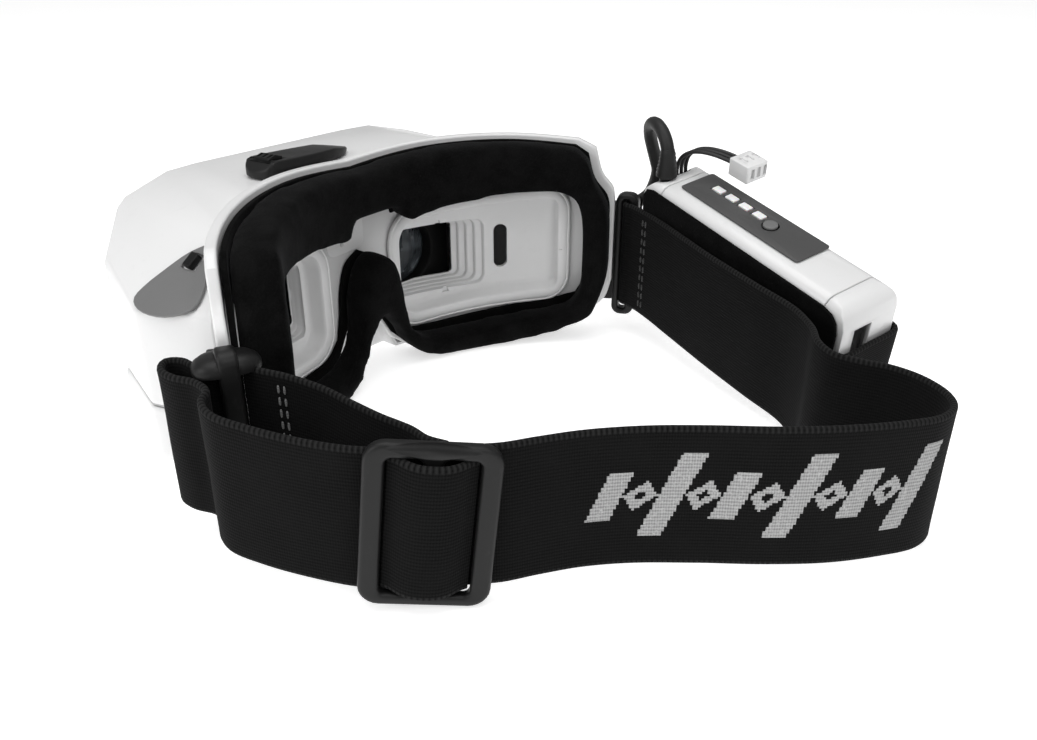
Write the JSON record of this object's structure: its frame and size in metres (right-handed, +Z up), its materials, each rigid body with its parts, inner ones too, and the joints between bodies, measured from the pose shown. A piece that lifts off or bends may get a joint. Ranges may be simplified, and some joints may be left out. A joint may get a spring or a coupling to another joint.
{
  "type": "fpv goggles",
  "caption": "White FPV video goggles with a black foam face pad, recessed rectangular eye windows, a wide elastic head strap with a tri-glide buckle, and a battery pack carried on the strap.",
  "frame": {"origin": "centre of the bounding box at the level of the surface the goggles stand on", "axes": "+Z up, +Y the way the wearer looks, +X to the wearer's right"},
  "size_m": [0.206, 0.2248, 0.0792],
  "materials": {
    "white_shell": "white, lightly glossy moulding",
    "pale_plastic": "pale grey matte moulding",
    "mid_grey": "mid grey satin",
    "dark_plastic": "dark grey satin",
    "black_plastic": "black matte",
    "foam_cover": "black brushed velour over foam",
    "webbing": "black ribbed woven elastic",
    "lens_glass": "coated lens",
    "circuit_board": "green solder mask",
    "steel": "bright steel",
    "gold_plate": "gold plated",
    "cable": "black flexible jacket",
    "light_window": "clear white light window"
  },
  "bodies": {
    "goggles": {"front_housing_upper": "white_shell", "front_housing_lower": "white_shell", "battery_lead_cap": "white_shell", "battery_body": "white_shell", "battery_end_cap": "white_shell", "balance_connector": "white_shell", "faceplate": "pale_plastic", "eye_shroud_right": "pale_plastic", "eye_shroud_left": "pale_plastic", "side_panel_left": "mid_grey", "side_panel_right": "mid_grey", "battery_label": "mid_grey", "strap_anchor_right": "dark_plastic", "strap_anchor_left": "dark_plastic", "control_pod": "dark_plastic", "fan_frame": "black_plastic", "power_socket": "black_plastic", "media_socket": "black_plastic", "foam_pad": "foam_cover", "strap_main": "webbing", "strap_return": "webbing", "strap_pocket": "webbing", "pocket_panel": "webbing", "main_board": "circuit_board", "battery_board": "circuit_board", "optics_rail": "steel", "receiver_module": "steel", "housing_screw_1": "steel", "housing_screw_2": "steel", "housing_screw_3": "steel", "housing_screw_4": "steel", "battery_cell_lower": "steel", "battery_cell_upper": "steel", "antenna_socket": "gold_plate", "power_lead": "cable", "power_plug": "cable", "balance_wire_1": "cable", "balance_wire_2": "cable", "balance_wire_3": "cable", "charge_light_1": "light_window", "charge_light_2": "light_window", "charge_light_3": "light_window", "charge_light_4": "light_window"},
    "optics_right": {"lens_holder_right": "black_plastic", "eyepiece_lens_right": "lens_glass", "display_module_right": "mid_grey", "ipd_knob_right": "dark_plastic"},
    "optics_left": {"lens_holder_left": "black_plastic", "eyepiece_lens_left": "lens_glass", "display_module_left": "mid_grey", "ipd_knob_left": "dark_plastic"},
    "fan": {"fan_rotor": "black_plastic"},
    "rocker": {"channel_rocker": "black_plastic"},
    "switch": {"mode_switch": "black_plastic"},
    "record": {"record_button": "black_plastic"},
    "charge_button": {"battery_button": "dark_plastic"},
    "buckle": {"buckle_frame": "dark_plastic", "strap_wrap": "webbing"},
    "bay_cover": {"receiver_bay_cover": "white_shell"}
  },
  "joints": [
    {"name": "optics_right_slide", "type": "slide", "parent": "goggles", "child": "optics_right", "axis": [1, 0, 0], "range_m": [-0.004, 0.004]},
    {"name": "optics_left_slide", "type": "slide", "parent": "goggles", "child": "optics_left", "axis": [1, 0, 0], "range_m": [-0.004, 0.004]},
    {"name": "fan_spin", "type": "hinge", "parent": "goggles", "child": "fan", "pos_m": [-0.00651, 0.08833, 0.0555], "axis": [0, 1, 0], "continuous": true},
    {"name": "rocker_tilt", "type": "hinge", "parent": "goggles", "child": "rocker", "pos_m": [-0.0301, 0.0809, 0.073], "axis": [0.9903, 0.1392, 0], "range_deg": [-6, 6], "stiffness_Nm_per_rad": 0.04},
    {"name": "mode_switch_slide", "type": "slide", "parent": "goggles", "child": "switch", "axis": [0, 1, 0], "range_m": [-0.0012, 0.0012]},
    {"name": "record_press", "type": "slide", "parent": "goggles", "child": "record", "axis": [-0.599, 0, -0.8008], "range_m": [0, 0.0006], "stiffness_N_per_m": 1200, "springref_m": -0.0004},
    {"name": "charge_button_press", "type": "slide", "parent": "goggles", "child": "charge_button", "axis": [0.2206, 0.1345, -0.9661], "range_m": [0, 0.0006], "stiffness_N_per_m": 1200, "springref_m": -0.0004},
    {"name": "buckle_slide", "type": "slide", "parent": "goggles", "child": "buckle", "axis": [0.7096, -0.7046, 0], "range_m": [-0.006, 0.006]},
    {"name": "bay_cover_pull", "type": "slide", "parent": "goggles", "child": "bay_cover", "axis": [1, 0, 0], "range_m": [0, 0.012]}
  ]
}
